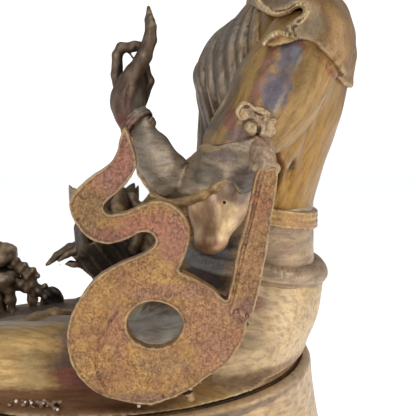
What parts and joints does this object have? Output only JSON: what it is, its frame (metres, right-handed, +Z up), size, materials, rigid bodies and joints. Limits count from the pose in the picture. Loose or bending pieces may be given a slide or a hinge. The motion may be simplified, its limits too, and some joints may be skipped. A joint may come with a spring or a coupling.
{
  "type": "seated goddess statue",
  "caption": "Seated goddess on a round bell-shaped pedestal, one hand raised in a teaching gesture, one leg hanging, with scrolling scarf ends and lotus flowers.",
  "frame": {"origin": "centre of the round pedestal's resting face", "axes": "+Z up, the figure faces -Y, its left side is +X"},
  "size_m": [0.4379, 0.5045, 0.64],
  "materials": {
    "golden_brushed_brass": "hand brushed, aged",
    "reddish_cast_brass": "as cast, pitted, fire reddened",
    "pale_brushed_brass": "brushed satin",
    "dark_patinated_brass": "dark patina, dull",
    "rough_inner_brass": "rough cast, sooty"
  },
  "bodies": {
    "root": {"belt": "golden_brushed_brass", "bottom_plate": "rough_inner_brass", "diadem": "golden_brushed_brass", "foot_lotus": "pale_brushed_brass", "hair": "dark_patinated_brass", "head": "golden_brushed_brass", "hips": "golden_brushed_brass", "left_bracelet": "dark_patinated_brass", "left_earring": "golden_brushed_brass", "left_elbow": "golden_brushed_brass", "left_foot": "golden_brushed_brass", "left_forearm": "dark_patinated_brass", "left_hand": "dark_patinated_brass", "left_rosette": "golden_brushed_brass", "left_ruffle": "golden_brushed_brass", "left_scarf_scroll": "reddish_cast_brass", "left_scarf_strap": "reddish_cast_brass", "left_scarf_tab": "golden_brushed_brass", "left_shin": "golden_brushed_brass", "left_thigh": "golden_brushed_brass", "left_upper_arm": "golden_brushed_brass", "lotus_cup": "dark_patinated_brass", "lotus_petals": "dark_patinated_brass", "midriff": "golden_brushed_brass", "neck": "golden_brushed_brass", "neck_pin": "rough_inner_brass", "necklace": "golden_brushed_brass", "pedestal_foot_ring": "pale_brushed_brass", "pedestal_shell": "pale_brushed_brass", "right_bracelet": "dark_patinated_brass", "right_earring": "golden_brushed_brass", "right_foot": "golden_brushed_brass", "right_forearm": "dark_patinated_brass", "right_hand": "dark_patinated_brass", "right_rosette": "golden_brushed_brass", "right_ruffle": "golden_brushed_brass", "right_scarf_scroll": "reddish_cast_brass", "right_scarf_strap": "reddish_cast_brass", "right_scarf_tab": "golden_brushed_brass", "right_shin": "golden_brushed_brass", "right_thigh": "golden_brushed_brass", "right_upper_arm": "golden_brushed_brass", "scroll_rivets": "reddish_cast_brass", "seat_plate": "rough_inner_brass", "seat_rivets": "rough_inner_brass", "shawl": "golden_brushed_brass", "spray_bloom": "dark_patinated_brass", "spray_bud": "dark_patinated_brass", "spray_leaf": "dark_patinated_brass", "spray_stem": "dark_patinated_brass", "topknot": "dark_patinated_brass", "torso": "golden_brushed_brass", "waistband_roll": "golden_brushed_brass"}
  },
  "joints": []
}
